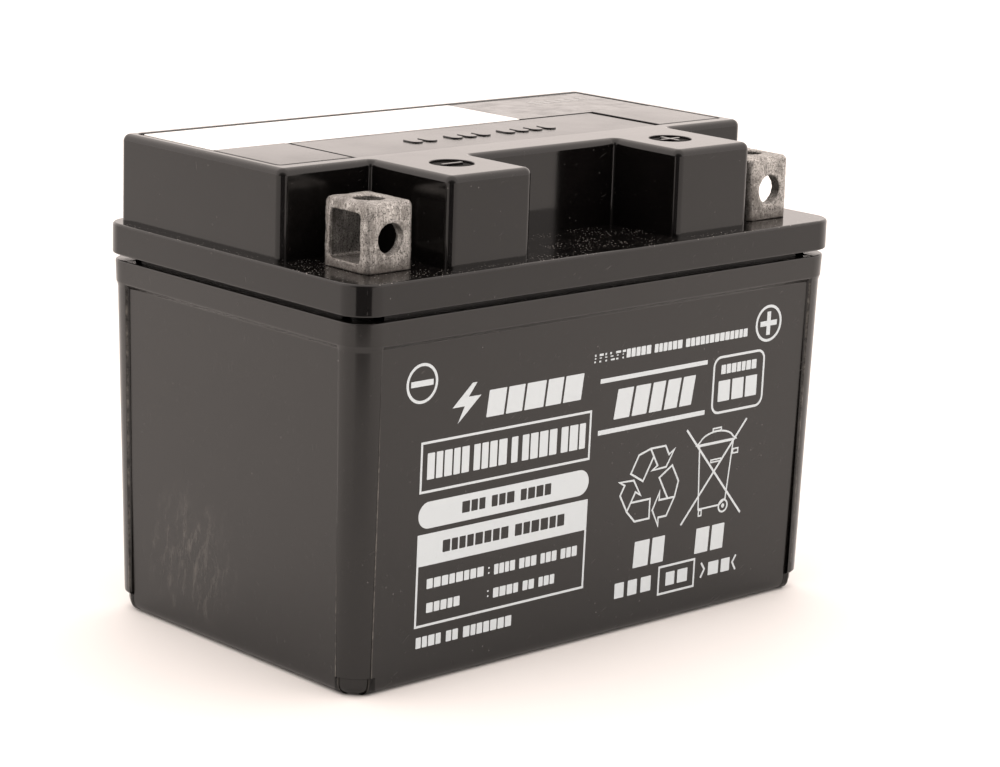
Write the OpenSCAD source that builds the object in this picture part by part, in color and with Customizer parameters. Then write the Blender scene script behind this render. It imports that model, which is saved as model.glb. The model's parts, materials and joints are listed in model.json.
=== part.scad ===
// Sealed 12 V motorcycle battery: a six-cell jar, a welded lid and two hollow lead terminals.
// The origin is the centre of the base. +X runs along the length from the negative terminal
// to the positive one, -Y faces the terminals' side, +Z is up.

/* [Case] */
// Overall length, over the lid flange
case_l = 113; // [112:0.5:118]
// Overall width, over the lid flange
case_w = 70; // [69:0.5:75]
// Overall height, to the top of the lid
case_h = 85; // [84:0.5:100]
// Corner radius of the lid flange
flange_r = 5; // [4:0.5:6]
// Height of the lid above its flange
tier_h = 15.3; // [15.3:0.1:16]
// Thickness of the lid flange
flange_t = 5.4; // [5.2:0.1:5.6]
// Height of the slot between the lid flange and the jar's collar
slot_h = 1; // [0.8:0.1:1.2]
// How far that slot goes in
slot_depth = 2.6; // [2:0.1:2.6]

/* [Jar] */
// Height of the collar round the jar's mouth
collar_h = 4; // [3.5:0.1:4.5]
// Height of the chamfer under the collar
collar_chamfer = 0.8; // [0.5:0.1:1]
// How far the collar stands inside the flange
collar_inset = 0.45; // [0.4:0.05:0.6]
// How far the corner posts stand inside the flange, under the collar
post_inset_top = 0.75; // [0.7:0.05:0.8]
// The same at the foot of the posts
post_inset_bottom = 1.82; // [1.7:0.01:1.9]
// How far the four panels lie behind the posts
panel_depth = 0.55; // [0.4:0.05:0.6]
// Width of a corner post, from the flange's side
post_w = 6.2; // [5.5:0.1:7]
// Height at which the corner posts start
post_z = 1.6; // [1.5:0.1:3]
// Rounding of the bottom edge
base_r = 2; // [1:0.1:2.4]
// Wall thickness at the base
wall_t = 2.1; // [2:0.05:2.2]
// Floor thickness under the cells
floor_t = 2.6; // [2.4:0.1:3]
// Thickness of the partitions between the cells
partition_t = 1.3; // [1.2:0.1:1.4]

/* [Lid] */
// How far the upper block of the lid stands in from the flange's ends
tier_inset_x = 2.2; // [2:0.1:2.4]
// How far it stands in from the flange's back edge
tier_inset_back = 2.4; // [2.2:0.1:2.6]
// How far the two towers stand in from the flange's front edge
tower_inset_front = 2.9; // [2.7:0.1:3.1]
// Half the width of the notch between the towers
notch_half = 17; // [16.5:0.1:17.5]
// Distance of the towers' outer faces from the middle
tower_outer = 35.4; // [35:0.1:35.6]
// Distance of the terminal bays' back wall in front of the middle
bay_back = 12; // [11.5:0.1:12]
// Distance of the notch's back wall in front of the middle
notch_back = 16.5; // [16:0.1:17]
// Corner radius of the upper block
tier_r = 1.5; // [1:0.1:2]

/* [Cover and label] */
// Half the length of the cover plate
cover_half_l = 51.9; // [51.8:0.1:52]
// Front edge of the cover plate, in front of the middle
cover_front = 8.4; // [8.3:0.1:8.5]
// Back edge of the cover plate, behind the middle
cover_back = 30.2; // [30:0.1:30.2]
// Thickness of the cover plate
cover_t = 2; // [1.9:0.1:2]
// Width of the seam round the cover plate
seam_w = 0.4; // [0.3:0.05:0.4]
// Half the length of the centre strip
strip_half_l = 35.4; // [34:0.2:36]
// Back edge of the centre strip, behind the middle
strip_back = 9.2; // [9:0.1:9.4]
// Thickness of the centre strip
strip_t = 1; // [0.8:0.1:1.1]
// Where the white part of the label ends and the dark part starts
label_split = 18.3; // [0:0.1:30]
// Thickness of the labels
label_t = 0.15; // [0.1:0.01:0.2]

/* [Terminals] */
// Distance of each terminal from the middle
terminal_x = 44.7; // [44.5:0.1:44.9]
// Width of a terminal along the length
terminal_l = 10; // [9.8:0.1:10.2]
// Front face of the terminals, in front of the middle
terminal_front = 28.5; // [28.3:0.1:28.7]
// Depth of a terminal, front to back
terminal_d = 11.6; // [11.4:0.1:11.8]
// Height of a terminal
terminal_h = 11.5; // [11.3:0.1:11.7]
// Radius of the bolt holes, for an M5 bolt
bolt_r = 2.7; // [2.6:0.05:2.75]
// Thickness of the terminals' front wall
terminal_wall_front = 1.5; // [1.4:0.1:1.6]
// Thickness of the terminals' top wall
terminal_wall_top = 1.8; // [1.7:0.1:1.9]
// Radius of the neck that goes down through the lid
neck_r = 3.95; // [3.9:0.01:3.96]

/* [Relief valves] */
// Outer radius of a rubber valve cap
valve_r = 5.2; // [5:0.1:5.4]
// Outer radius of the vent stub under a cap
stub_r = 3.6; // [3.5:0.05:3.6]
// Radius of the vent bore
vent_r = 1.5; // [1.2:0.1:1.8]
// How far a cap can lift
valve_lift = 0.8; // [0.5:0.1:0.8]
// Distance of the valves behind the middle
valve_y = 11; // [10.5:0.1:11.5]

/* [Cells] */
// Thickness of a negative plate
negative_t = 1.3; // [1.2:0.05:1.3]
// Thickness of a positive plate
positive_t = 1.9; // [1.8:0.05:1.9]
// Thickness of a glass-mat separator
separator_t = 0.8; // [0.7:0.05:0.8]
// Half the width of the plates
plate_half_w = 29.2; // [28:0.1:29.3]
// Height of the plates' top edge
plate_top = 50; // [45:1:50]

/* [Hidden] */
$fn = 64;
hull_fn = 32;
eps = 0.02;
fit_gap = 0.05;
cell_count = 6;

flange_top = case_h - tier_h;
flange_bottom = flange_top - flange_t;
collar_top = flange_bottom - slot_h;
collar_bottom = collar_top - collar_h;
core_inset = post_inset_bottom + panel_depth;
cell_w = case_w - 2 * (core_inset + wall_t);
cell_pitch = (case_l - 2 * (core_inset + wall_t) + partition_t) / cell_count;
cell_l = cell_pitch - partition_t;
cell_r = 1.5;
foot_rim = 6;
foot_recess = 0.6;

lid_skin = 2.4;
lid_inside = flange_top - lid_skin;
tower_wall = 2.2;
ledge_w = 2;
chamber_floor = flange_top + 0.5;
cover_bottom = case_h - cover_t;
mark_x = 25.8;
mark_y = -21.4;
mark_r = 3.8;
mark_depth = 0.4;
mark_bar = 0.7;

terminal_y = -terminal_front + terminal_d / 2;
terminal_top = flange_top + terminal_h;
terminal_floor = 1.6;
terminal_edge_r = 0.8;
window_front = -terminal_front + terminal_wall_front;
window_d = 8.1;
window_top = terminal_top - terminal_wall_top;
hole_z = (flange_top + terminal_floor + window_top) / 2;
neck_bottom = 62.5;
boss_r = 7.4;
boss_bottom = lid_inside - 2.5;
seal_wire_r = 1;
seal_r = neck_r + fit_gap + seal_wire_r;
seal_pocket_r = seal_r + seal_wire_r + fit_gap;
seal_pocket_top = boss_bottom + 2 * seal_wire_r + 0.1;

valve_top = case_h - 5.8;
valve_bottom = valve_top - 8;
valve_skin = 1.5;
valve_bead = 0.4;
stub_top = valve_top - valve_skin;
pad_r = 3;
arrestor_x = cell_pitch;
arrestor_y = 22;
arrestor_r = 4;
arrestor_t = 2;
arrestor_rim = 1.5;
exit_w = 1.6;
exit_depth = 0.8;

sticker_front = 9.6;
sticker_back = 29.6;
sticker_half_l = 51.5;
sticker_sink = 0.2;
strip_sink = 0.3;

plate_count = 7;
plate_bottom = floor_t + 1.4;
plate_step = (negative_t + positive_t) / 2 + separator_t;
separator_half_w = plate_half_w + 0.8;
separator_bottom = floor_t + 0.4;
separator_top = plate_top + 1.5;
lug_y = 19;
lug_w = 9;
lug_top = plate_top + 3;
strap_w = 12;
strap_t = 3.5;
strap_top = lug_top + strap_t;
strap_l = (plate_count - 1) * plate_step + negative_t;
flag_t = 2;
flag_w = 10;
flag_top = strap_top + 6;
weld_z = strap_top + 3;
weld_r = 2.5;
riser_r = 2.2;

// Middle of cell n, counted from 1 at the negative end.
function cell_x(n) = (n - (cell_count + 1) / 2) * cell_pitch;

// The cells' polarity alternates, so that the straps of neighbours face each other.
// -1 puts a group's lugs on the terminals' side, 1 on the far side.
function negative_side(n) = n % 2 == 1 ? -1 : 1;
function positive_side(n) = -negative_side(n);

// Rectangle with round corners, between two corner points.
module rounded_rect(x0, x1, y0, y1, r) {
    translate([x0 + r, y0]) square([x1 - x0 - 2 * r, y1 - y0]);
    translate([x0, y0 + r]) square([x1 - x0, y1 - y0 - 2 * r]);
    for (x = [x0 + r, x1 - r], y = [y0 + r, y1 - r]) translate([x, y]) circle(r);
}

// Upright block with round vertical edges, between two heights.
module rounded_block(x0, x1, y0, y1, r, z0, z1) {
    translate([0, 0, z0]) linear_extrude(z1 - z0) rounded_rect(x0, x1, y0, y1, r);
}

// Thin slice of the case's outline at one height, set in from the flange.
module case_slice(inset, z) {
    translate([0, 0, z]) linear_extrude(eps)
        rounded_rect(-case_l / 2 + inset, case_l / 2 - inset, -case_w / 2 + inset, case_w / 2 - inset,
                     flange_r - inset / 2, $fn = hull_fn);
}

// Jar core with its moulding draft and a round bottom edge.
module jar_core() {
    hull() {
        case_slice(post_inset_top + panel_depth, collar_bottom);
        for (a = [0:22.5:90])
            case_slice(core_inset + base_r * (1 - cos(a)), base_r * (1 - sin(a)));
    }
}

// Four corner posts that stand proud of the panels.
module corner_posts() {
    intersection() {
        hull() {
            case_slice(post_inset_top, collar_bottom);
            case_slice(post_inset_bottom, post_z);
        }
        for (x = [-case_l / 2, case_l / 2 - post_w], y = [-case_w / 2, case_w / 2 - post_w])
            translate([x, y, 0]) cube([post_w, post_w, collar_bottom + eps]);
    }
}

// Collar round the mouth, with its chamfer underneath.
module collar() {
    hull() {
        case_slice(collar_inset, collar_top - eps);
        case_slice(collar_inset + 0.1, collar_bottom);
        case_slice(post_inset_top + panel_depth, collar_bottom - collar_chamfer);
    }
}

module container() {
    rim = collar_inset + slot_depth;
    color([0.13, 0.12, 0.11]) difference() {
        union() {
            jar_core();
            corner_posts();
            collar();
            rounded_block(-case_l / 2 + rim, case_l / 2 - rim, -case_w / 2 + rim, case_w / 2 - rim,
                          flange_r - 1, collar_bottom, flange_bottom);
        }
        for (n = [1:cell_count])
            translate([cell_x(n), 0, 0])
                rounded_block(-cell_l / 2, cell_l / 2, -cell_w / 2, cell_w / 2, cell_r,
                              floor_t, flange_bottom + 1);
        for (n = [1:cell_count - 1])
            translate([cell_x(n) + cell_pitch / 2 - partition_t, positive_side(n) * lug_y, weld_z])
                rotate([0, 90, 0]) cylinder(r = weld_r, h = 2 * partition_t);
        rounded_block(-case_l / 2 + foot_rim, case_l / 2 - foot_rim, -case_w / 2 + foot_rim,
                      case_w / 2 - foot_rim, 3, -1, foot_recess);
    }
}

// Everything above the flange, before it is hollowed.
module lid_upper() {
    z0 = flange_top - 1;
    half_l = case_l / 2 - tier_inset_x;
    back = case_w / 2 - tier_inset_back;
    front = -case_w / 2 + tower_inset_front;
    rounded_block(-half_l, half_l, -bay_back, back, tier_r, z0, case_h);
    translate([-tower_outer + 3, -notch_back, z0])
        cube([2 * tower_outer - 6, notch_back, case_h - z0]);
    for (s = [-1, 1])
        rounded_block(min(s * notch_half, s * tower_outer), max(s * notch_half, s * tower_outer),
                      front, 0, tier_r, z0, case_h);
}

// Hollows of the two towers, open to the cells below.
module tower_hollows() {
    front = -case_w / 2 + tower_inset_front + tower_wall;
    inner = notch_half + tower_wall;
    outer = tower_outer - tower_wall;
    for (s = [-1, 1])
        rounded_block(min(s * inner, s * outer), max(s * inner, s * outer), front, -notch_back + tower_wall,
                      1, lid_inside - 1, case_h - tower_wall);
}

// Round sunk mark with a raised sign in it: a bar, or a bar and a cross bar.
module polarity_recess(x, bars) {
    translate([x, mark_y, case_h - mark_depth]) difference() {
        cylinder(r = mark_r, h = mark_depth + 1);
        for (i = [0:bars - 1])
            rotate(90 * i) translate([-mark_r * 0.6, -mark_bar / 2, -1]) cube([mark_r * 1.2, mark_bar, 3]);
    }
}

module lid() {
    pocket_half_l = cover_half_l + seam_w;
    pocket_front = -cover_front - seam_w;
    pocket_back = cover_back + seam_w;
    color([0.13, 0.12, 0.11]) difference() {
        union() {
            difference() {
                union() {
                    rounded_block(-case_l / 2, case_l / 2, -case_w / 2, case_w / 2, flange_r,
                                  flange_bottom, flange_top);
                    lid_upper();
                }
                for (n = [1:cell_count])
                    translate([cell_x(n), 0, 0])
                        rounded_block(-cell_l / 2, cell_l / 2, -cell_w / 2, cell_w / 2, cell_r,
                                      flange_bottom - 1, lid_inside);
                tower_hollows();
                rounded_block(-pocket_half_l, pocket_half_l, pocket_front, pocket_back, 1,
                              cover_bottom, case_h + 1);
                rounded_block(-pocket_half_l + ledge_w, pocket_half_l - ledge_w, pocket_front + ledge_w,
                              pocket_back - ledge_w, 1, chamber_floor, case_h);
                polarity_recess(-mark_x, 1);
                polarity_recess(mark_x, 2);
            }
            for (n = [1:cell_count])
                translate([cell_x(n), valve_y, chamber_floor - 1])
                    cylinder(r = stub_r, h = stub_top - chamber_floor + 1);
            for (s = [-1, 1])
                translate([s * terminal_x, terminal_y, boss_bottom])
                    cylinder(r = boss_r, h = lid_inside - boss_bottom + 1);
        }
        for (n = [1:cell_count])
            translate([cell_x(n), valve_y, flange_bottom]) cylinder(r = vent_r, h = case_h);
        for (s = [-1, 1]) translate([s * terminal_x, terminal_y, 0]) {
            translate([0, 0, flange_bottom - 1]) cylinder(r = neck_r + fit_gap, h = flange_t + 2);
            translate([0, 0, boss_bottom - 1])
                cylinder(r = seal_pocket_r, h = seal_pocket_top - boss_bottom + 1);
        }
    }
}

module cover_plate() {
    color([0.15, 0.14, 0.13]) difference() {
        union() {
            rounded_block(-cover_half_l, cover_half_l, -cover_front, cover_back, 0.8, cover_bottom, case_h);
            for (n = [1:cell_count])
                translate([cell_x(n), valve_y, valve_top + valve_lift + fit_gap])
                    cylinder(r = pad_r, h = cover_bottom - valve_top - valve_lift);
            for (s = [-1, 1]) translate([s * arrestor_x, arrestor_y, cover_bottom - arrestor_t])
                cylinder(r = arrestor_r + arrestor_rim, h = arrestor_t + 0.5);
        }
        for (s = [-1, 1]) {
            translate([s * arrestor_x, arrestor_y, cover_bottom - arrestor_t - 1])
                cylinder(r = arrestor_r + fit_gap, h = arrestor_t + 1);
            translate([s * arrestor_x - exit_w / 2, arrestor_y, cover_bottom - eps])
                cube([exit_w, cover_back - arrestor_y + 1, exit_depth]);
        }
        translate([-strip_half_l - seam_w, -cover_front - 1, case_h - strip_t - strip_sink])
            cube([2 * (strip_half_l + seam_w), cover_front + 1 + strip_back + seam_w, strip_t + 1]);
        translate([-sticker_half_l - 1, sticker_front - 0.1, case_h - sticker_sink])
            cube([2 * sticker_half_l + 2, sticker_back - sticker_front + 0.2, 1]);
    }
}

// Loose insert in the middle of the cover, with rows of raised blocks in place of lettering.
module centre_strip() {
    word_blocks = [2, 3, 4];
    block_pitch = 3.3;
    word_gap = 2.6;
    block_l = 2.4;
    block_w = 4;
    row_l = 9 * block_pitch + 2 * word_gap - (block_pitch - block_l);
    top = case_h - strip_sink;
    color([0.15, 0.14, 0.13]) {
        translate([-strip_half_l, -cover_front, top - strip_t])
            cube([2 * strip_half_l, cover_front + strip_back, strip_t]);
        for (w = [0:2], k = [0:3])
            if (k < word_blocks[w])
                translate([-row_l / 2 + blocks_before(word_blocks, w, k) * block_pitch + w * word_gap,
                           -block_w / 2, top - eps])
                    cube([block_l, block_w, strip_sink]);
    }
}

// Number of blocks in the words before word w, plus k.
function blocks_before(words, w, k) = w == 0 ? k : words[w - 1] + blocks_before(words, w - 1, k);

module sticker(x0, x1) {
    translate([x0, sticker_front, case_h - sticker_sink])
        cube([x1 - x0, sticker_back - sticker_front, label_t]);
}

module white_label() {
    color([0.95, 0.95, 0.93]) sticker(-sticker_half_l, label_split);
}

module dark_label() {
    color([0.2, 0.19, 0.19]) sticker(label_split, sticker_half_l);
}

// Hollow lead terminal: a square tube along X, drilled in front and on top, on a round neck.
module terminal(side) {
    color([0.55, 0.54, 0.52]) translate([side * terminal_x, 0, 0]) difference() {
        union() {
            rounded_block(-terminal_l / 2, terminal_l / 2, -terminal_front, -terminal_front + terminal_d,
                          terminal_edge_r, flange_top, terminal_top);
            translate([0, terminal_y, neck_bottom])
                cylinder(r = neck_r, h = flange_top - neck_bottom + 0.5);
        }
        translate([-terminal_l, window_front, flange_top + terminal_floor])
            cube([2 * terminal_l, window_d, window_top - flange_top - terminal_floor]);
        translate([0, window_front + 1, hole_z]) rotate([90, 0, 0])
            cylinder(r = bolt_r, h = terminal_wall_front + 3);
        translate([0, terminal_y, window_top - 1]) cylinder(r = bolt_r, h = terminal_wall_top + 3);
    }
}

// Rubber ring round a terminal's neck, in its pocket under the lid.
module post_seal(side) {
    color([0.05, 0.05, 0.05]) translate([side * terminal_x, terminal_y, boss_bottom + seal_wire_r])
        rotate_extrude() translate([seal_r, 0]) circle(r = seal_wire_r, $fn = hull_fn);
}

// Rubber cap on a vent stub. It lifts to let gas out and falls back.
module relief_valve(n) {
    color([0.08, 0.08, 0.08]) translate([cell_x(n), valve_y, 0]) difference() {
        union() {
            translate([0, 0, valve_bottom]) cylinder(r = valve_r, h = valve_top - valve_bottom);
            translate([0, 0, valve_bottom]) cylinder(r = valve_r + valve_bead, h = 1.2);
        }
        translate([0, 0, valve_bottom - 1]) cylinder(r = stub_r + 0.1, h = stub_top - valve_bottom + 1);
    }
}

module flame_arrestors() {
    color([0.8, 0.8, 0.78]) for (s = [-1, 1])
        translate([s * arrestor_x, arrestor_y, cover_bottom - arrestor_t])
            cylinder(r = arrestor_r, h = arrestor_t);
}

module intercell_welds() {
    color([0.5, 0.5, 0.5]) for (n = [1:cell_count - 1])
        translate([cell_x(n) + cell_pitch / 2 - weld_half(), positive_side(n) * lug_y, weld_z])
            rotate([0, 90, 0]) cylinder(r = weld_r - fit_gap, h = 2 * weld_half());
}

// Half the distance between the flags of two neighbouring cells.
function weld_half() = (cell_pitch - strap_l) / 2;

// Plates of one polarity in cell n, cast together with their lugs and strap.
// first is 0 for the negative plates and 1 for the positive ones.
module plate_group(n, first, side, flag_dir, has_riser) {
    translate([cell_x(n), 0, 0]) {
        for (k = [first:2:plate_count - 1])
            translate([plate_x(k) - plate_t(k) / 2, 0, 0]) {
                translate([0, -plate_half_w, plate_bottom])
                    cube([plate_t(k), 2 * plate_half_w, plate_top - plate_bottom]);
                translate([0, side * lug_y - lug_w / 2, plate_top - eps])
                    cube([plate_t(k), lug_w, lug_top - plate_top + 2 * eps]);
            }
        translate([-strap_l / 2, side * lug_y - strap_w / 2, lug_top]) cube([strap_l, strap_w, strap_t]);
        if (flag_dir != 0)
            translate([flag_dir > 0 ? strap_l / 2 - flag_t : -strap_l / 2, side * lug_y - flag_w / 2,
                       strap_top - eps])
                cube([flag_t, flag_w, flag_top - strap_top]);
        if (has_riser)
            translate([terminal_riser_x(n), terminal_y, strap_top - eps])
                cylinder(r = riser_r, h = neck_bottom - strap_top + eps);
    }
}

// Where plate k of a cell stands, and which thickness it has.
function plate_x(k) = (k - (plate_count - 1) / 2) * plate_step;
function plate_t(k) = k % 2 == 0 ? negative_t : positive_t;

// Offset of the terminal from the middle of its cell.
function terminal_riser_x(n) = (n == 1 ? -terminal_x : terminal_x) - cell_x(n);

module negative_plates(n) {
    color([0.45, 0.46, 0.47])
        plate_group(n, 0, negative_side(n), n == 1 ? 0 : -1, n == 1);
}

module positive_plates(n) {
    color([0.3, 0.2, 0.15])
        plate_group(n, 1, positive_side(n), n == cell_count ? 0 : 1, n == cell_count);
}

module separators(n) {
    color([0.93, 0.93, 0.9]) translate([cell_x(n), 0, 0])
        for (k = [0:plate_count - 2])
            translate([plate_x(k) + plate_t(k) / 2, -separator_half_w, separator_bottom])
                cube([separator_t, 2 * separator_half_w, separator_top - separator_bottom]);
}

container();
lid();
cover_plate();
centre_strip();
white_label();
dark_label();
terminal(-1);  // negative_terminal
terminal(1);  // positive_terminal
post_seal(-1);  // negative_post_seal
post_seal(1);  // positive_post_seal
flame_arrestors();
intercell_welds();
for (n = [1:cell_count]) {
    relief_valve(n);
    negative_plates(n);
    positive_plates(n);
    separators(n);
}
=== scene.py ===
"""Looks of a sealed motorcycle battery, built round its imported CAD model.

Lengths are millimetres in the part's own frame: +X runs along the battery from the negative terminal to the
positive one, -Y is the printed front, +Z is up, and the base is at z = 0. MM turns them into metres.
"""
import json
import math
import random

import bpy
from mathutils import Matrix, Vector, noise


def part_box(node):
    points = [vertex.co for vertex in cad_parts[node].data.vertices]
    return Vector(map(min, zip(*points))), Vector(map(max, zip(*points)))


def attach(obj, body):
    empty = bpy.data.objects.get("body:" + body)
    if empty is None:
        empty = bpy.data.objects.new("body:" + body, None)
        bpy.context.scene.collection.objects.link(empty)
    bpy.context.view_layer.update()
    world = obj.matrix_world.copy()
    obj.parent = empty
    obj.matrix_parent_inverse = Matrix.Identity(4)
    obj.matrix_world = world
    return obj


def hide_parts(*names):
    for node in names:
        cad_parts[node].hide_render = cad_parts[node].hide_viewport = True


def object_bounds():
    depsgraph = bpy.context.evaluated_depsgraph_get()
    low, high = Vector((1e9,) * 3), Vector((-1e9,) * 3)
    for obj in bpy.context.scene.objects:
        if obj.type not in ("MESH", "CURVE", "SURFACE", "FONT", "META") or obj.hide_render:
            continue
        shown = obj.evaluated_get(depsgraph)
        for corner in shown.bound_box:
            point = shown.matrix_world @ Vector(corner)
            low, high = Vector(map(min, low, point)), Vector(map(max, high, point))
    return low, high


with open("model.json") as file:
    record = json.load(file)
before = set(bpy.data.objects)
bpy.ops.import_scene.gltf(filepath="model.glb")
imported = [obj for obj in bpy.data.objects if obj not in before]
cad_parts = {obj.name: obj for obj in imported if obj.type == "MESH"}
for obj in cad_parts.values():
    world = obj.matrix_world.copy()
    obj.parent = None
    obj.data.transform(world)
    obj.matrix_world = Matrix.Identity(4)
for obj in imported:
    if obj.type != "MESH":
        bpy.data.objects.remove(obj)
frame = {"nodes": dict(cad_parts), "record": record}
cad_low, cad_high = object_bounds()
MM = 0.001
CASE = "case"


def box_mm(node):
    """Lowest and highest corner of a CAD node, in millimetres."""
    low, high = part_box(node)
    return low / MM, high / MM


# ---------------------------------------------------------------- sizes

LID_HIGH = box_mm("lid")[1]
HALF_L = LID_HIGH.x
HALF_W = LID_HIGH.y
TOP = cad_high.z / MM
FLANGE_BOTTOM = box_mm("container")[1].z

# Jar: a collar, four corner posts, four drafted panels and a round base. Insets are from the lid's flange.
COLLAR_TOP = FLANGE_BOTTOM - 1.0
COLLAR_BOTTOM = COLLAR_TOP - 4.0
COLLAR_INSET = 0.45
COLLAR_EDGE = 0.3
COLLAR_FOOT = ((-0.15, 0.24, 0.04), (0.0, 0.13, 0), (0.2, 0.1, 0))  # rise, inset, posts proud by
RIM_INSET = 3.05
JAR_R = 4.7
WALL = 2.1
PANEL_INSET_TOP = 1.3
PANEL_INSET_BOTTOM = 2.37
PANEL_HALF_L = 50.7
PANEL_HALF_W = 28.7
POST_PROUD = 0.55
POST_STEP = 0.45
POST_FOOT = ((3.15, 0.0), (3.2, 0.25), (3.28, 0.7), (3.4, 0.94), (3.6, 1.0))  # height, share of POST_PROUD
POST_TOP = COLLAR_BOTTOM - 0.8
MID_HEIGHT = 30.0
BASE_R = 2.0
BASE_TURN = 13.5
UNDERSIDE = ((0.6, 7.0), (0.05, 6.4), (0.0, 6.2))  # height and inset of the shallow recess below
PANEL_DRAFT = (PANEL_INSET_BOTTOM - PANEL_INSET_TOP) / (COLLAR_BOTTOM - BASE_R)

# Cells
CELLS = 6
CELL_X = [sum(b.x for b in box_mm(f"cell_{n}_separators")) / 2 for n in range(1, CELLS + 1)]
CELL_PITCH = CELL_X[1] - CELL_X[0]
PARTITION = 1.3
CELL_L = CELL_PITCH - PARTITION
CELL_HALF_W = HALF_W - PANEL_INSET_BOTTOM - WALL
CELL_FLOOR = 2.6
CELL_R = 1.5
WELD_Y = 19.0
WELD_R = 2.5

# Lid: a flange, a stepped block (the tier) with two towers and a notch between them, and terminal bays
FLANGE_TOP = 69.7
FLANGE_R = 5.0
FLANGE_EDGE_LOW = 0.35
FLANGE_EDGE_HIGH = 0.5
TIER_BACK = HALF_W - 2.4
TIER_HALF_L = HALF_L - 2.2
TIER_R = 1.5
TIER_EDGE = 1.25
TIER_INNER_R = 0.6
BAY_BACK = -12.0
NOTCH_BACK = -16.5
NOTCH_HALF = 17.0
TOWER_FRONT = -HALF_W + 2.9
TOWER_OUTER = 35.4
TOWER_WALL = 2.2
LID_SKIN = 2.4
LID_INSIDE = FLANGE_TOP - LID_SKIN
NECK_HOLE_R = 4.0
SEAL_POCKET_R = 6.05
BOSS_R = 7.4
SIGN_X = 25.8
SIGN_Y = -21.4
SIGN_R = 3.8
SIGN_DEPTH = 0.4

# Valve chamber, with a stub and a vent for each valve
CHAMBER_MARGIN = 1.6
CHAMBER_FLOOR = FLANGE_TOP + 0.5
VALVE_CAP = 1.5
STUB_R = 3.6
VENT_R = 1.5

# Cover plate and centre strip
SEAM = 0.4
END_SEAM = 1.1
COVER_BOTTOM = TOP - 2.0
COVER_R = 0.8
COVER_EDGE = 0.35
PAD_GAP = 0.85
PAD_R = 3.0
FILTER_RIM = 1.5
GROOVE_HALF = 0.8
STRIP_SINK = 0.12
BLOCK_RISE = 0.12

# Terminals
LEAD_CORNER_R = 1.3
LEAD_EDGE = 1.1
FRONT_WALL = 2.1
WINDOW_L = 7.5
WINDOW_FLOOR = 1.6
WINDOW_ROOF = 1.8
WINDOW_R = 0.7
BOLT_HOLE = ((2.55, -2.6), (2.55, -0.2), (2.75, 0.1), (2.75, 1))  # radius and height of the cutter's rings
FRONT_HOLE_DROP = 0.2
NECK_R = 3.93


# ---------------------------------------------------------------- mesh helpers

SHARP_ANGLE = 32


def rectangle(x0, x1, y0, y1):
    return [(x0, y0), (x1, y0), (x1, y1), (x0, y1)]


def outline(corners, inset, round_out, round_in=1.0, steps=7):
    """Points of a right-angled outline (anticlockwise), moved in by inset, with its corners rounded.

    round_out and round_in are the radii of outer and inner corners before the inset."""
    points = []
    count = len(corners)
    for i in range(count):
        before, here, after = (Vector(corners[(i + k) % count]) for k in (-1, 0, 1))
        d_in = (here - before).normalized()
        d_out = (after - here).normalized()
        n_in = Vector((-d_in.y, d_in.x))
        n_out = Vector((-d_out.y, d_out.x))
        outer = d_in.x * d_out.y - d_in.y * d_out.x > 0
        radius = max(round_out - inset, 0.02) if outer else round_in + inset
        side = 1 if outer else -1
        corner = here + inset * (n_in + n_out)
        centre = corner + side * radius * (n_in + n_out)
        for k in range(steps + 1):
            a = k / steps * math.pi / 2
            points.append(centre - side * radius * (n_in * math.cos(a) + n_out * math.sin(a)))
    return points


def at_height(points, z):
    return [(p[0], p[1], z) for p in points]


def mesh_object(name, verts, faces):
    """A new object from millimetre vertices."""
    mesh = bpy.data.meshes.new(name)
    mesh.from_pydata([Vector(v) * MM for v in verts], [], faces)
    mesh.update()
    obj = bpy.data.objects.new(name, mesh)
    bpy.context.scene.collection.objects.link(obj)
    return obj


def loft(name, rings):
    """A closed solid through rings of equal point counts, given from the bottom up and anticlockwise."""
    count = len(rings[0])
    verts = [p for ring in rings for p in ring]
    faces = [tuple(reversed(range(count)))]
    for r in range(len(rings) - 1):
        for i in range(count):
            j = (i + 1) % count
            faces.append((r * count + i, r * count + j, (r + 1) * count + j, (r + 1) * count + i))
    faces.append(tuple(range((len(rings) - 1) * count, len(rings) * count)))
    return mesh_object(name, verts, faces)


def block(name, corners, levels, round_out, round_in=1.0, steps=7):
    """A loft of one outline. levels lists (z, inset) from the bottom up."""
    rings = [at_height(outline(corners, inset, round_out, round_in, steps), z) for z, inset in levels]
    return loft(name, rings)


def round_edge(z_edge, inset, radius, up=True, steps=5):
    """Levels of a rounded rim that ends at z_edge, from the bottom up."""
    levels = []
    for k in range(steps + 1):
        a = k / steps * math.pi / 2
        if not up:
            a = math.pi / 2 - a
        rise = radius * math.sin(a)
        z = z_edge - radius + rise if up else z_edge + radius - rise
        levels.append((z, inset + radius * (1 - math.cos(a))))
    return levels


def turned(name, centre, profile, axis="z", segments=48):
    """A closed solid of revolution. profile lists (radius, height) from the bottom up."""
    rings = []
    for radius, height in profile:
        ring = []
        for k in range(segments):
            a = 2 * math.pi * k / segments
            p = Vector((radius * math.cos(a), radius * math.sin(a), height))
            if axis == "y":
                p = Vector((p.x, -p.z, p.y))
            if axis == "x":
                p = Vector((p.z, p.x, p.y))
            ring.append(Vector(centre) + p)
        rings.append(ring)
    return loft(name, rings)


def applied(obj):
    """Bakes an object's modifiers into its mesh."""
    graph = bpy.context.evaluated_depsgraph_get()
    mesh = bpy.data.meshes.new_from_object(obj.evaluated_get(graph))
    obj.modifiers.clear()
    old = obj.data
    obj.data = mesh
    mesh.name = obj.name
    bpy.data.meshes.remove(old)
    return obj


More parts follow.
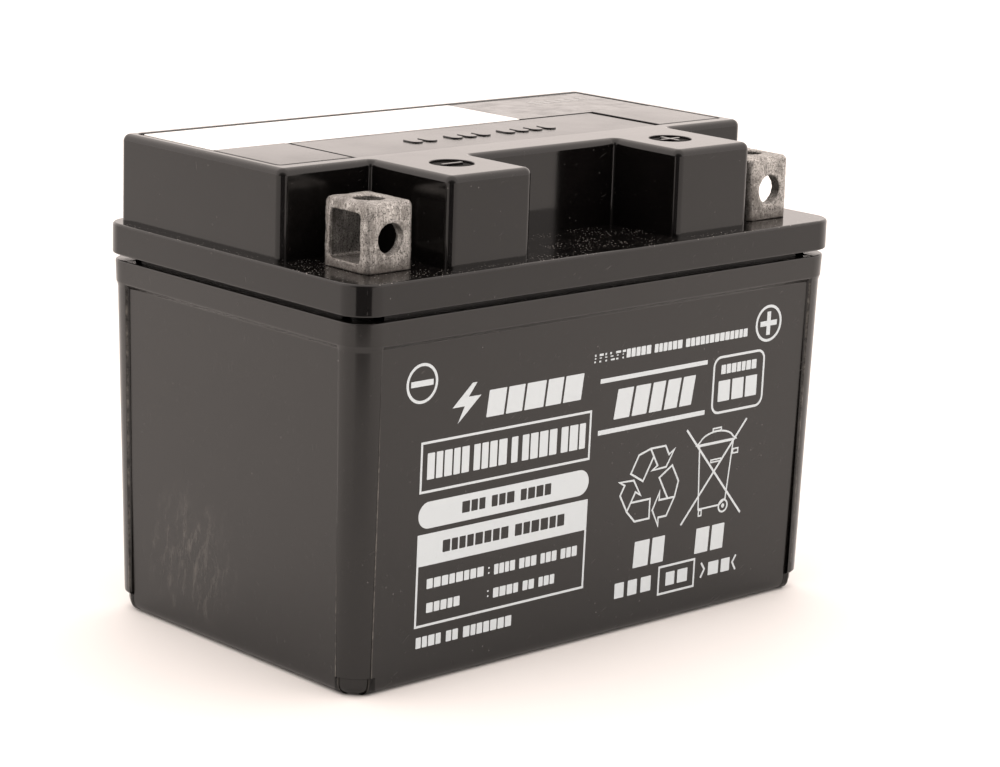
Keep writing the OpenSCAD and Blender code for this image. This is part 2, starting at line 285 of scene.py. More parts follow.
def combine(target, tool, operation):
    """Adds a closed solid to another, or cuts it away, and removes the tool."""
    modifier = target.modifiers.new("combine", "BOOLEAN")
    modifier.operation = operation
    modifier.solver = "EXACT"
    modifier.object = tool
    applied(target)
    bpy.data.objects.remove(tool)


def cut(target, tool):
    combine(target, tool, "DIFFERENCE")


def add(target, tool):
    combine(target, tool, "UNION")


def join(name, objects):
    """Puts separate closed solids into one object."""
    verts, faces = [], []
    for obj in objects:
        start = len(verts)
        verts += [v.co / MM for v in obj.data.vertices]
        faces += [tuple(start + i for i in p.vertices) for p in obj.data.polygons]
        bpy.data.objects.remove(obj)
    return mesh_object(name, verts, faces)


def smooth(obj):
    """Smooth shading with sharp edges above SHARP_ANGLE, and flat faces kept flat."""
    mesh = obj.data
    for polygon in mesh.polygons:
        polygon.use_smooth = True
    mesh.set_sharp_from_angle(angle=math.radians(SHARP_ANGLE))
    weighted = obj.modifiers.new("weighted", "WEIGHTED_NORMAL")
    weighted.keep_sharp = True
    weighted.weight = 100
    return obj


def finish_piece(obj, slot, material, *replaced):
    """Gives a piece its material and its body, and hides the CAD nodes it stands for; slot is not used."""
    obj.data.materials.clear()
    obj.data.materials.append(material)
    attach(obj, CASE)
    if replaced:
        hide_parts(*replaced)
    return obj


# ---------------------------------------------------------------- materials

RANGE_SOCKETS = ("From Min", "From Max", "To Min", "To Max")


class Paint:
    """Wires one Principled material from textures in millimetres of the part's frame."""

    def __init__(self, name, color, roughness, metallic=0.0, ior=1.5):
        self.material = bpy.data.materials.new(name)
        self.material.use_nodes = True
        self.tree = self.material.node_tree
        self.shader = self.tree.nodes["Principled BSDF"]
        values = {"Base Color": (*color, 1), "Roughness": roughness, "Metallic": metallic, "IOR": ior}
        for socket, value in values.items():
            self.shader.inputs[socket].default_value = value
        self.coords = self.node("ShaderNodeTexCoord").outputs["Object"]
        self.normal = None

    def node(self, kind, **settings):
        made = self.tree.nodes.new(kind)
        for key, value in settings.items():
            setattr(made, key, value)
        return made

    def put(self, socket, value):
        """Feeds an input from another node's output, a colour or a number."""
        if isinstance(value, bpy.types.NodeSocket):
            self.tree.links.new(value, socket)
        elif isinstance(value, tuple) and len(value) == 3 and socket.type == "RGBA":
            socket.default_value = (*value, 1)
        else:
            socket.default_value = value

    def space(self, scale=(1, 1, 1), turn=(0, 0, 0), move=(0, 0, 0)):
        """Coordinates in millimetres, turned and then stretched."""
        turned_first = self.node("ShaderNodeMapping")
        self.put(turned_first.inputs["Vector"], self.coords)
        turned_first.inputs["Rotation"].default_value = [math.radians(a) for a in turn]
        turned_first.inputs["Location"].default_value = [-m * MM for m in move]
        stretched = self.node("ShaderNodeMapping")
        self.put(stretched.inputs["Vector"], turned_first.outputs[0])
        stretched.inputs["Scale"].default_value = [s / MM for s in scale]
        return stretched.outputs[0]

    def axis(self, letter):
        """One coordinate of the surface point, in millimetres."""
        split = self.node("ShaderNodeSeparateXYZ")
        self.put(split.inputs[0], self.coords)
        return self.math("DIVIDE", split.outputs[letter], MM)

    def near(self, value, place, reach):
        """1 where a value is close to a place, falling to 0 at a distance of reach."""
        away = self.math("ABSOLUTE", self.math("SUBTRACT", value, place))
        return self.band(away, reach * 0.4, reach, 1.0, 0.0)

    def grain(self, per_mm, detail=3.0, rough=0.55, space=None):
        """Soft noise from 0 to 1, with per_mm features a millimetre."""
        made = self.node("ShaderNodeTexNoise")
        self.put(made.inputs["Vector"], space or self.space())
        made.inputs["Scale"].default_value = per_mm
        made.inputs["Detail"].default_value = detail
        made.inputs["Roughness"].default_value = rough
        return made.outputs["Fac"]

    def specks(self, per_mm):
        """Distance to the nearest of scattered points."""
        made = self.node("ShaderNodeTexVoronoi")
        self.put(made.inputs["Vector"], self.space())
        made.inputs["Scale"].default_value = per_mm
        return made.outputs["Distance"]

    def band(self, value, low, high, out_low=0.0, out_high=1.0):
        """Maps a range of a value onto another, clamped."""
        made = self.node("ShaderNodeMapRange", clamp=True)
        for socket, number in zip(RANGE_SOCKETS, (low, high, out_low, out_high)):
            made.inputs[socket].default_value = number
        self.put(made.inputs["Value"], value)
        return made.outputs[0]

    def math(self, operation, a, b=0.0):
        made = self.node("ShaderNodeMath", operation=operation)
        self.put(made.inputs[0], a)
        self.put(made.inputs[1], b)
        return made.outputs[0]

    def times(self, a, b):
        return self.math("MULTIPLY", a, b)

    def mix(self, share, a, b):
        """Colour a, covered by colour b where share is 1."""
        made = self.node("ShaderNodeMix", data_type="RGBA")
        self.put(made.inputs["Factor"], share)
        self.put([s for s in made.inputs if s.name == "A" and s.type == "RGBA"][0], a)
        self.put([s for s in made.inputs if s.name == "B" and s.type == "RGBA"][0], b)
        return [s for s in made.outputs if s.type == "RGBA"][0]

    def bump(self, height, depth_mm, strength=1.0):
        """Adds relief to the relief the material has already."""
        made = self.node("ShaderNodeBump")
        made.inputs["Distance"].default_value = depth_mm * MM
        made.inputs["Strength"].default_value = strength
        self.put(made.inputs["Height"], height)
        if self.normal is not None:
            self.put(made.inputs["Normal"], self.normal)
        self.normal = made.outputs[0]

    def facing_up(self):
        """1 where the surface looks straight up, 0 where it is upright."""
        geometry = self.node("ShaderNodeNewGeometry")
        split = self.node("ShaderNodeSeparateXYZ")
        self.put(split.inputs[0], geometry.outputs["Normal"])
        return split.outputs["Z"]

    def scratches(self, per_mm, stretch, turn, low, high):
        """Thin straight marks along one direction."""
        return self.band(self.grain(per_mm, 2.0, 0.6, self.space(stretch, turn)), low, high)

    def done(self, color=None, roughness=None):
        if color is not None:
            self.put(self.shader.inputs["Base Color"], color)
        if roughness is not None:
            self.put(self.shader.inputs["Roughness"], roughness)
        if self.normal is not None:
            self.put(self.shader.inputs["Normal"], self.normal)
        return self.material


SCRATCH_GREY = (0.16, 0.15, 0.145)
SPECK_GREY = (0.30, 0.29, 0.28)
SCUFF_BROWN = (0.17, 0.155, 0.14)
EDGE_WEAR_AND_HIGHLIGHT = (0.24, 0.225, 0.20)
DUST_GREY = (0.42, 0.40, 0.38)
SCUFF_CORE = 2.0
SCUFF_REACH = 15.0
CHAMBER_HALF_L = 52.0
CHAMBER_FRONT = -9.0
DUST_TOP = 71.0


def fine_scratches(p):
    """Share of two families of sparse straight scratches."""
    first = p.scratches(1.0, (0.05, 2.2, 2.2), (8, 25, 12), 0.70, 0.76)
    second = p.scratches(1.0, (2.4, 2.4, 0.06), (14, -9, 30), 0.71, 0.77)
    return p.math("MAXIMUM", first, second)


def loose_specks(p):
    """Share of single pale specks, in patches."""
    dots = p.band(p.specks(0.55), 0.03, 0.09, 1.0, 0.0)
    patches = p.band(p.grain(0.09, 2.0), 0.5, 0.62)
    return p.times(dots, patches)


def scuffed(p, centre):
    """Share of a rubbed place round a point: broad wisps and fine rub marks that fade outwards."""
    away = p.node("ShaderNodeVectorMath", operation="DISTANCE")
    p.put(away.inputs[0], p.coords)
    away.inputs[1].default_value = Vector(centre) * MM
    near = p.band(away.outputs["Value"], SCUFF_CORE * MM, SCUFF_REACH * MM, 1.0, 0.0)
    wisps = p.band(p.grain(0.35, 8.0, 0.68, p.space((1, 1.6, 0.5), (-12, 0, 0))), 0.50, 0.68)
    rub = p.band(p.grain(2.2, 5.0, 0.8, p.space((1, 1.3, 0.45), (10, 0, 0))), 0.50, 0.68)
    marks = p.math("ADD", p.times(wisps, 0.6), p.times(rub, 0.35))
    return p.times(near, marks)


def post_edge_wear_and_highlight(p):
    """Share of pale wear and painted highlight along the edges between posts and panels, below the collar.
    """
    edge_half = 0.16
    edge_shift = 0.05
    skin = 4.0
    along_x = p.math("ABSOLUTE", p.axis("X"))
    along_y = p.math("ABSOLUTE", p.axis("Y"))
    on_front = p.band(along_y, HALF_W - skin, HALF_W - skin + 0.5)
    on_side = p.band(along_x, HALF_L - skin, HALF_L - skin + 0.5)
    front_edge = p.times(p.near(along_x, PANEL_HALF_L + edge_shift, edge_half), on_front)
    side_edge = p.times(p.near(along_y, PANEL_HALF_W + edge_shift, edge_half), on_side)
    edges = p.math("MAXIMUM", front_edge, side_edge)
    below = p.band(p.axis("Z"), COLLAR_BOTTOM - 1.2, COLLAR_BOTTOM - 0.8, 1.0, 0.0)
    patches = p.band(p.grain(0.5, 6.0, 0.8), 0.40, 0.62)
    return p.times(p.times(edges, below), patches)


def lying_dust(p, amount):
    """Share of dust on faces that look up: most on the flange, none in the valve chamber."""
    low_down = p.band(p.axis("Z"), DUST_TOP, DUST_TOP + 1.0, 1.0, 0.12)
    beside = p.band(p.math("ABSOLUTE", p.axis("X")), CHAMBER_HALF_L, CHAMBER_HALF_L + 0.5)
    in_front = p.band(p.axis("Y"), CHAMBER_FRONT, CHAMBER_FRONT + 0.5, 1.0, 0.0)
    outside = p.math("MAXIMUM", beside, in_front)
    level = p.band(p.facing_up(), 0.5, 0.95)
    lying = p.times(level, p.times(low_down, outside))
    dots = p.band(p.specks(1.6), 0.10, 0.22, 1.0, 0.0)
    fluff = p.band(p.grain(2.6, 5.0, 0.8), 0.60, 0.74)
    grains = p.math("MAXIMUM", dots, fluff)
    patches = p.band(p.grain(0.16, 3.0), 0.40, 0.60)
    return p.times(p.times(lying, grains), p.times(patches, amount))


def black_plastic(name, base, rough, scuff_at=None, dust=0.0, ior=1.5):
    """Moulded black polypropylene: uneven gloss, fine scratches, specks, and dust where it can lie."""
    p = Paint(name, base, rough, ior=ior)
    cloud = p.grain(0.035, 3.0)
    blotch = p.grain(0.25, 4.0, 0.6)
    scratch = fine_scratches(p)
    lighter = tuple(c * 1.5 for c in base)
    color = p.mix(p.band(blotch, 0.3, 0.75), base, lighter)
    color = p.mix(p.times(scratch, 0.12), color, SCRATCH_GREY)
    color = p.mix(p.times(loose_specks(p), 0.3), color, SPECK_GREY)
    gloss = p.band(cloud, 0.3, 0.7, rough - 0.05, rough + 0.06)
    roughness = p.math("ADD", gloss, p.times(scratch, 0.18))
    if scuff_at is not None:
        rubbed = scuffed(p, scuff_at)
        color = p.mix(p.times(rubbed, 0.6), color, SCUFF_BROWN)
        # Pale post edges: partly wear, partly painted highlight.
        color = p.mix(p.times(post_edge_wear_and_highlight(p), 0.45), color, EDGE_WEAR_AND_HIGHLIGHT)
        roughness = p.math("ADD", roughness, p.times(rubbed, 0.3))
    if dust > 0:
        covered = lying_dust(p, dust)
        color = p.mix(covered, color, DUST_GREY)
        roughness = p.math("ADD", roughness, p.times(covered, 0.4))
    p.bump(p.grain(0.03, 2.0), 0.12, 0.5)
    p.bump(p.grain(5.0, 3.0), 0.0025, 0.5)
    p.bump(scratch, -0.004, 0.7)
    return p.done(color, roughness)


def matt_black(name):
    """Spark-eroded texture at the bottom of the sunk marks."""
    p = Paint(name, LID_BASE, 0.7)
    p.shader.inputs["Specular IOR Level"].default_value = 0.12
    p.bump(p.grain(6.0, 4.0, 0.7), 0.02, 0.9)
    return p.done()


def worn_lead(name, shade=1.0):
    """Cast lead: dull skin, rubbed streaks, dark pits, stains and a dark foot. shade darkens it all, for
    the copy that paints shade inside the terminals' holes.
    """
    p = Paint(name, (0.4, 0.39, 0.38), 0.5, metallic=0.9)

    def tint(*color):
        return tuple(shade * c for c in color)

    dull, skin, rubbed = tint(0.25, 0.243, 0.232), tint(0.47, 0.457, 0.435), tint(0.74, 0.725, 0.70)
    grime, stained = tint(0.06, 0.055, 0.050), tint(0.13, 0.122, 0.112)
    foot_brown, pit_black = tint(0.12, 0.108, 0.098), tint(0.03, 0.028, 0.026)
    coarse = p.grain(0.5, 5.0, 0.7)
    fine = p.grain(3.5, 6.0, 0.75)
    streak = p.grain(1.0, 4.0, 0.7, p.space((3.5, 3.5, 0.5), (0, 4, 0)))
    pits = p.times(p.band(p.specks(1.9), 0.12, 0.3, 1.0, 0.0), p.band(fine, 0.45, 0.6))
    stain_space = p.space((1, 1, 0.6), (0, 0, 20), (3.1, 2.2, 0.7))
    stain = p.band(p.grain(0.22, 5.0, 0.72, stain_space), 0.50, 0.63)
    low_down = p.band(p.axis("Z"), FLANGE_TOP + 0.2, FLANGE_TOP + 2.6, 0.9, 0.0)
    foot = p.times(low_down, p.band(coarse, 0.3, 0.6, 0.45, 1.0))
    color = p.mix(p.band(coarse, 0.35, 0.65), dull, skin)
    color = p.mix(p.times(p.band(streak, 0.5, 0.7), 0.8), color, rubbed)
    color = p.mix(p.times(p.band(fine, 0.51, 0.60), 0.85), color, grime)
    color = p.mix(p.times(stain, 0.72), color, stained)
    color = p.mix(foot, color, foot_brown)
    color = p.mix(p.times(pits, 0.9), color, pit_black)
    p.bump(coarse, 0.10, 0.6)
    p.bump(fine, 0.05, 0.8)
    p.bump(pits, -0.08, 0.8)
    return p.done(color, p.band(fine, 0.3, 0.7, 0.42, 0.72))


def plain_grained(name, dark, light, rough, per_mm=2.0, depth=0.02):
    """A simple two-tone grained surface."""
    p = Paint(name, dark, rough)
    grain = p.grain(per_mm, 5.0, 0.65)
    p.bump(grain, depth, 0.7)
    color = p.mix(p.band(grain, 0.35, 0.65), dark, light)
    return p.done(color, p.band(grain, 0.3, 0.7, rough - 0.08, rough + 0.08))


def glass_mat(name):
    """White glass-fibre mat with a tangled surface."""
    p = Paint(name, (0.86, 0.86, 0.84), 0.9)
    first = p.grain(2.0, 3.0, 0.7, p.space((0.4, 3.0, 3.0), (0, 20, 15)))
    second = p.grain(2.0, 3.0, 0.7, p.space((3.0, 0.4, 3.0), (15, 0, 40)))
    fibres = p.math("MAXIMUM", first, second)
    p.bump(fibres, 0.05, 0.8)
    return p.done(p.mix(p.band(fibres, 0.4, 0.7), (0.72, 0.72, 0.70), (0.92, 0.92, 0.90)))


def label_paper(name, color, rough, mark_color):
    """Laminated label: nearly even colour with faint handling marks."""
    p = Paint(name, color, rough)
    marks = p.times(p.band(p.grain(0.4, 5.0, 0.7), 0.60, 0.78), 0.25)
    p.bump(p.grain(0.08, 2.0), 0.02, 0.3)
    gloss = p.band(p.grain(0.3, 3.0), 0.3, 0.7, rough - 0.05, rough + 0.08)
    return p.done(p.mix(marks, color, mark_color), gloss)


def ink(name):
    """White pad-printed ink, a little thin in places."""
    full, faint = (0.54, 0.593, 0.62), (0.37, 0.40, 0.415)
    p = Paint(name, full, 0.45)
    thin = p.times(p.band(p.grain(1.6, 5.0, 0.75), 0.60, 0.75), 0.35)
    return p.done(p.mix(thin, full, faint))


JAR_BASE = (0.0036, 0.0031, 0.0028)
LID_BASE = (0.0028, 0.0025, 0.0024)
SCUFF_AT = (-54.9, 11.0, 14.0)
MATERIALS = {
    "jar": black_plastic("jar_plastic", JAR_BASE, 0.20, scuff_at=SCUFF_AT, ior=1.46),
    "lid": black_plastic("lid_plastic", LID_BASE, 0.11, dust=1.0, ior=1.42),
    "cover": black_plastic("cover_plastic", JAR_BASE, 0.2, dust=0.25),
    "lid_matt": matt_black("lid_matt"),
    "lead": worn_lead("lead"),
    # A darker copy of the lead: painted shade for the walls inside the terminals' window and top hole.
    "lead_painted_shade": worn_lead("lead_painted_shade", 0.45),
    "lead_plate": plain_grained("lead_plate", (0.20, 0.21, 0.22), (0.36, 0.37, 0.38), 0.75),
    "lead_dioxide": plain_grained("lead_dioxide", (0.05, 0.028, 0.018), (0.12, 0.07, 0.045), 0.85),
    "glass_mat": glass_mat("glass_mat"),
    "seal_rubber": plain_grained("seal_rubber", (0.01, 0.01, 0.01), (0.022, 0.022, 0.022), 0.7, 3.0, 0.008),
    "porous_filter": plain_grained("porous_filter", (0.55, 0.55, 0.53), (0.85, 0.85, 0.83), 0.9, 4.0, 0.05),
    "white_label": label_paper("white_label", (0.90, 0.90, 0.885), 0.4, (0.70, 0.69, 0.67)),
    "dark_label": label_paper("dark_label", (0.022, 0.021, 0.021), 0.18, (0.04, 0.04, 0.04)),
    "ink": ink("print_ink"),
    "label_ink": plain_grained("label_ink", (0.16, 0.16, 0.16), (0.34, 0.34, 0.34), 0.4, 1.5, 0.003),
}


# ---------------------------------------------------------------- jar


def jar_ring(z, inset, proud=0):
    """Outline of the jar at one height: four corner posts that stand proud of four panels."""
    steps = 6
    corner_steps = 10
    half_x = HALF_L - inset + proud
    half_y = HALF_W - inset + proud
    places = (lambda u, v: (u, -v), lambda u, v: (v, u), lambda u, v: (-u, v), lambda u, v: (-v, -u))
    ring = []
    for side, place in enumerate(places):
        along, out, panel = half_x, half_y, PANEL_HALF_L
        if side % 2 == 1:
            along, out, panel = half_y, half_x, PANEL_HALF_W
        flank = []
        for k in range(steps + 1):
            drop = proud * (1 - math.cos(math.pi * k / steps)) / 2
            flank.append((-panel - POST_STEP / 2 + POST_STEP * k / steps, out - drop))
        path = [(-along + JAR_R, out)] + flank + [(-u, v) for u, v in reversed(flank)]
        for k in range(corner_steps + 1):
            a = math.pi / 2 * (1 - k / corner_steps)
            path.append((along - JAR_R + JAR_R * math.cos(a), out - JAR_R + JAR_R * math.sin(a)))
        ring += [(*place(u, v), z) for u, v in path]
    return ring


def panel_inset(z):
    """How far the panels lie inside the flange's edge at one height."""
    return PANEL_INSET_TOP + (COLLAR_BOTTOM - z) * PANEL_DRAFT


def cell_hollow(n, z0, z1):
    """Cutter for one cell."""
    corners = rectangle(CELL_X[n] - CELL_L / 2, CELL_X[n] + CELL_L / 2, -CELL_HALF_W, CELL_HALF_W)
    return block("hollow", corners, [(z0, 0), (z1, 0)], CELL_R, steps=4)


def jar_rings():
    """The jar's outlines from its underside to the top of its rim."""
    rings = [jar_ring(z, inset) for z, inset in UNDERSIDE]
    for k in range(6):
        a = math.radians(90 - BASE_TURN * k)
        rings.append(jar_ring(BASE_R * (1 - math.sin(a)), PANEL_INSET_BOTTOM + BASE_R * (1 - math.cos(a))))
    rings.append(jar_ring(BASE_R, PANEL_INSET_BOTTOM))
    for z, share in POST_FOOT:
        rings.append(jar_ring(z, panel_inset(z), POST_PROUD * share))
    for z in (MID_HEIGHT, POST_TOP - 0.12):
        rings.append(jar_ring(z, panel_inset(z), POST_PROUD))
    rings.append(jar_ring(POST_TOP + 0.05, panel_inset(POST_TOP) - 0.06, POST_PROUD * 0.92))
    for rise, inset, proud in COLLAR_FOOT:
        rings.append(jar_ring(COLLAR_BOTTOM + rise, COLLAR_INSET + inset, proud))
    for z, inset in round_edge(COLLAR_TOP, COLLAR_INSET, COLLAR_EDGE, steps=4):
        rings.append(jar_ring(z, inset))
    rings.append(jar_ring(COLLAR_TOP, RIM_INSET))
    rings.append(jar_ring(FLANGE_BOTTOM, RIM_INSET))
    return rings


def make_jar():
    """Container with a round base, corner posts, chamfered collar, sealing rim and six cells."""
    jar = loft("jar", jar_rings())
    for n in range(CELLS):
        cut(jar, cell_hollow(n, CELL_FLOOR, FLANGE_BOTTOM + 1))
    weld_low, weld_high = box_mm("intercell_welds")
    for n in range(CELLS - 1):
        side = 1 if n % 2 == 0 else -1
        centre = (CELL_X[n] + CELL_PITCH / 2, side * WELD_Y, (weld_low.z + weld_high.z) / 2)
        cut(jar, turned("hole", centre, [(WELD_R, -PARTITION), (WELD_R, PARTITION)], "x", 32))
    return finish_piece(smooth(jar), "jar_plastic", MATERIALS["jar"], "container")


# ---------------------------------------------------------------- lid


def flared_cutter(corners, floor, top, radius, lip):
    """A pocket's cutter whose mouth is rounded over."""
    steps = 3
    levels = [(floor, 0), (top - lip, 0)]
    for k in range(1, steps + 1):
        a = k / steps * math.pi / 2
        levels.append((top - lip + lip * math.sin(a), -lip * (1 - math.cos(a))))
    levels.append((top + 1, -lip - 0.05))
    return block("cutter", corners, levels, radius, steps=5)


def sign_recess(x, bars):
    """Cutter for a round sunk mark with one bar, or a cross of two, left standing in it."""
    half, half_width, lip, bevel = 2.3, 0.35, 0.12, 0.1
    profile = [(SIGN_R, -SIGN_DEPTH), (SIGN_R, -lip), (SIGN_R + lip, 0), (SIGN_R + 0.2, 1)]
    mark = turned("mark", (x, SIGN_Y, TOP), profile)
    levels = [(TOP - 1, 0), (TOP - bevel, 0), (TOP, bevel), (TOP + 2, bevel)]
    for reach_x, reach_y in ((half, half_width), (half_width, half))[:bars]:
        bar = rectangle(x - reach_x, x + reach_x, SIGN_Y - reach_y, SIGN_Y + reach_y)
        cut(mark, block("bar", bar, levels, 0.15, steps=3))
    return mark


def valve_place(n):
    """Middle and top of one relief valve."""
    low, high = box_mm(f"relief_valve_{n + 1}")
    return ((low.x + high.x) / 2, (low.y + high.y) / 2, 0), high.z


def lid_solid():
    """Flange and stepped block of the lid, still full."""
    flange = rectangle(-HALF_L, HALF_L, -HALF_W, HALF_W)
    flange_levels = round_edge(FLANGE_BOTTOM, 0, FLANGE_EDGE_LOW, up=False, steps=4)
    flange_levels += round_edge(FLANGE_TOP, 0, FLANGE_EDGE_HIGH, steps=5)
    lid = block("lid_shell", flange, flange_levels, FLANGE_R, steps=12)
    left = [(-TIER_HALF_L, TIER_BACK), (-TIER_HALF_L, BAY_BACK), (-TOWER_OUTER, BAY_BACK),
            (-TOWER_OUTER, TOWER_FRONT), (-NOTCH_HALF, TOWER_FRONT), (-NOTCH_HALF, NOTCH_BACK)]
    right = [(-x, y) for x, y in reversed(left)]
    tier_levels = [(FLANGE_TOP - 1, 0)] + round_edge(TOP, 0, TIER_EDGE, steps=7)
    add(lid, block("tier", right[-1:] + left + right[:-1], tier_levels, TIER_R, TIER_INNER_R, steps=6))
    return lid


def cut_lid_hollows(lid):
    """Room over the cells, inside the towers, for the cover and for the valves."""
    for n in range(CELLS):
        cut(lid, cell_hollow(n, FLANGE_BOTTOM - 1, LID_INSIDE))
    for side in (-1, 1):
        x0, x1 = sorted((side * (NOTCH_HALF + TOWER_WALL), side * (TOWER_OUTER - TOWER_WALL)))
        hollow = rectangle(x0, x1, TOWER_FRONT + TOWER_WALL, NOTCH_BACK + TOWER_WALL)
        cut(lid, block("hollow", hollow, [(LID_INSIDE - 0.5, 0), (TOP - TOWER_WALL, 0)], 1.0, steps=4))
    low, high = box_mm("cover_plate")
    pocket = rectangle(low.x - SEAM, high.x + SEAM, low.y - SEAM, high.y + SEAM)
    cut(lid, flared_cutter(pocket, COVER_BOTTOM, TOP, 1.0, 0.15))
    chamber = rectangle(low.x + CHAMBER_MARGIN, high.x - CHAMBER_MARGIN,
                        low.y + CHAMBER_MARGIN, high.y - CHAMBER_MARGIN)
    cut(lid, block("chamber", chamber, [(CHAMBER_FLOOR, 0), (TOP - 1, 0)], 1.0, steps=4))


def make_lid():
    """Lid with its flange, stepped block, two towers, terminal bays, cover pocket and valve chamber."""
    lid = lid_solid()
    cut_lid_hollows(lid)
    for n in range(CELLS):
        centre, valve_top = valve_place(n)
        stub_top = valve_top - VALVE_CAP
        add(lid, turned("stub", centre, [(STUB_R, CHAMBER_FLOOR - 1), (STUB_R, stub_top)], segments=40))
        cut(lid, turned("vent", centre, [(VENT_R, LID_INSIDE - 1), (VENT_R, stub_top + 1)], segments=32))
    for node in ("negative_terminal", "positive_terminal"):
        low, high = box_mm(node)
        centre = ((low.x + high.x) / 2, (low.y + high.y) / 2, 0)
        below = LID_INSIDE - 4
        add(lid, turned("boss", centre, [(BOSS_R, LID_INSIDE - 2.5), (BOSS_R, LID_INSIDE + 0.5)]))
        cut(lid, turned("bore", centre, [(NECK_HOLE_R, below), (NECK_HOLE_R, FLANGE_TOP + 1)]))
        cut(lid, turned("pocket", centre, [(SEAL_POCKET_R, below), (SEAL_POCKET_R, LID_INSIDE - 0.4)]))
    for x, bars in ((-SIGN_X, 1), (SIGN_X, 2)):
        cut(lid, sign_recess(x, bars))
    finish_piece(smooth(lid), "lid_plastic", MATERIALS["lid"], "lid")
    lid.data.materials.append(MATERIALS["lid_matt"])
    for face in lid.data.polygons:
        if face.normal.z > 0.9 and abs(face.center.z / MM - (TOP - SIGN_DEPTH)) < 0.03:
            face.material_index = 1
    return lid


def make_cover():
    """Cover plate with its bosses, pads, the slot for the strip and the label's recess."""
    low, high = box_mm("cover_plate")
    inside = COVER_BOTTOM + 0.5
    levels = [(COVER_BOTTOM, 0)] + round_edge(TOP, 0, COVER_EDGE, steps=4)
    plate = block("cover", rectangle(low.x, high.x, low.y, high.y), levels, COVER_R, steps=4)
    for n in range(CELLS):
        centre, valve_top = valve_place(n)
        tip = valve_top + PAD_GAP
        add(plate, turned("pad", centre, [(PAD_R - 0.2, tip), (PAD_R, tip + 0.2), (PAD_R, inside)]))
    disc_low, disc_high = box_mm("flame_arrestors")
    radius = (disc_high.y - disc_low.y) / 2
    for side in (-1, 1):
        centre = (side * (disc_high.x - radius), (disc_low.y + disc_high.y) / 2, 0)
        rim, bore = radius + FILTER_RIM, radius + 0.05
        add(plate, turned("boss", centre, [(rim, disc_low.z), (rim, inside)]))
        cut(plate, turned("bore", centre, [(bore, disc_low.z - 1), (bore, COVER_BOTTOM)]))
        groove = rectangle(centre[0] - GROOVE_HALF, centre[0] + GROOVE_HALF, centre[1], high.y + 1)
        groove_levels = [(COVER_BOTTOM - 0.02, 0), (COVER_BOTTOM + 0.78, 0)]
        cut(plate, block("groove", groove, groove_levels, 0.1, steps=2))
    strip_low, strip_high = box_mm("centre_strip")
    slot = rectangle(strip_low.x - END_SEAM, strip_high.x + END_SEAM, low.y - 2, strip_high.y + SEAM)
    cut(plate, flared_cutter(slot, strip_low.z, TOP, 0.1, 0.12))
    label_low, label_high = box_mm("white_label")
    dark_high = box_mm("dark_label")[1]
    recess = rectangle(label_low.x - 1, dark_high.x + 1, label_low.y - 0.1, label_high.y + 0.1)
    cut(plate, block("recess", recess, [(label_low.z, 0), (TOP + 1, 0)], 0.1, steps=2))
    return finish_piece(smooth(plate), "lid_plastic", MATERIALS["cover"], "cover_plate")


def make_strip():
    """Centre strip with rows of raised, round-edged blocks where its lettering was."""
    words = (2, 3, 4)
    pitch, gap, length, half_width = 3.3, 2.6, 2.4, 2.0
    low, high = box_mm("centre_strip")
    top = high.z - STRIP_SINK
    strip_levels = [(low.z, 0)] + round_edge(top, 0, 0.08, steps=3)
    block_levels = [(top - 0.04, 0)] + round_edge(high.z + BLOCK_RISE, 0, 0.1, steps=4)
    pieces = [block("strip", rectangle(low.x, high.x, low.y, high.y), strip_levels, 0.5, steps=3)]
    row = sum(words) * pitch + (len(words) - 1) * gap - (pitch - length)
    x = -row / 2
    for word in words:
        for _ in range(word):
            foot = rectangle(x, x + length, -half_width, half_width)
            pieces.append(block("raised", foot, block_levels, 1.15, steps=8))
            x += pitch
        x += gap
    strip = join("strip_with_blocks", pieces)
    return finish_piece(smooth(strip), "lid_plastic", MATERIALS["cover"], "centre_strip")


def make_labels():
    """The white and the dark part of the label on the top."""
    bevel = 0.05
    made = []
    for node in ("white_label", "dark_label"):
        low, high = box_mm(node)
        levels = [(low.z + 0.01, 0), (high.z - bevel, 0), (high.z, bevel)]
        sheet = block(node + "_sheet", rectangle(low.x, high.x, low.y, high.y), levels, 0.3, steps=3)
        made.append(finish_piece(smooth(sheet), node, MATERIALS[node], node))
    return made


def make_label_print():
    """A worn line of plain blocks where the dark label carries its lettering."""
    high = box_mm("dark_label")[1]
    place = (high.x - 17.5, high.x - 3.5, high.y - 8.0, high.y - 4.5)
    blocks = []
    for loop in word_blocks(*place, [6], random.Random(3), 0.0, 0.3, 0.9, 0.4):
        rings = [[(x, y, z) for x, y in loop] for z in (high.z - 0.02, high.z + 0.015)]
        blocks.append(loft("label_block", rings))
    return finish_piece(join("label_print", blocks), "print_ink", MATERIALS["label_ink"])


# ---------------------------------------------------------------- terminals


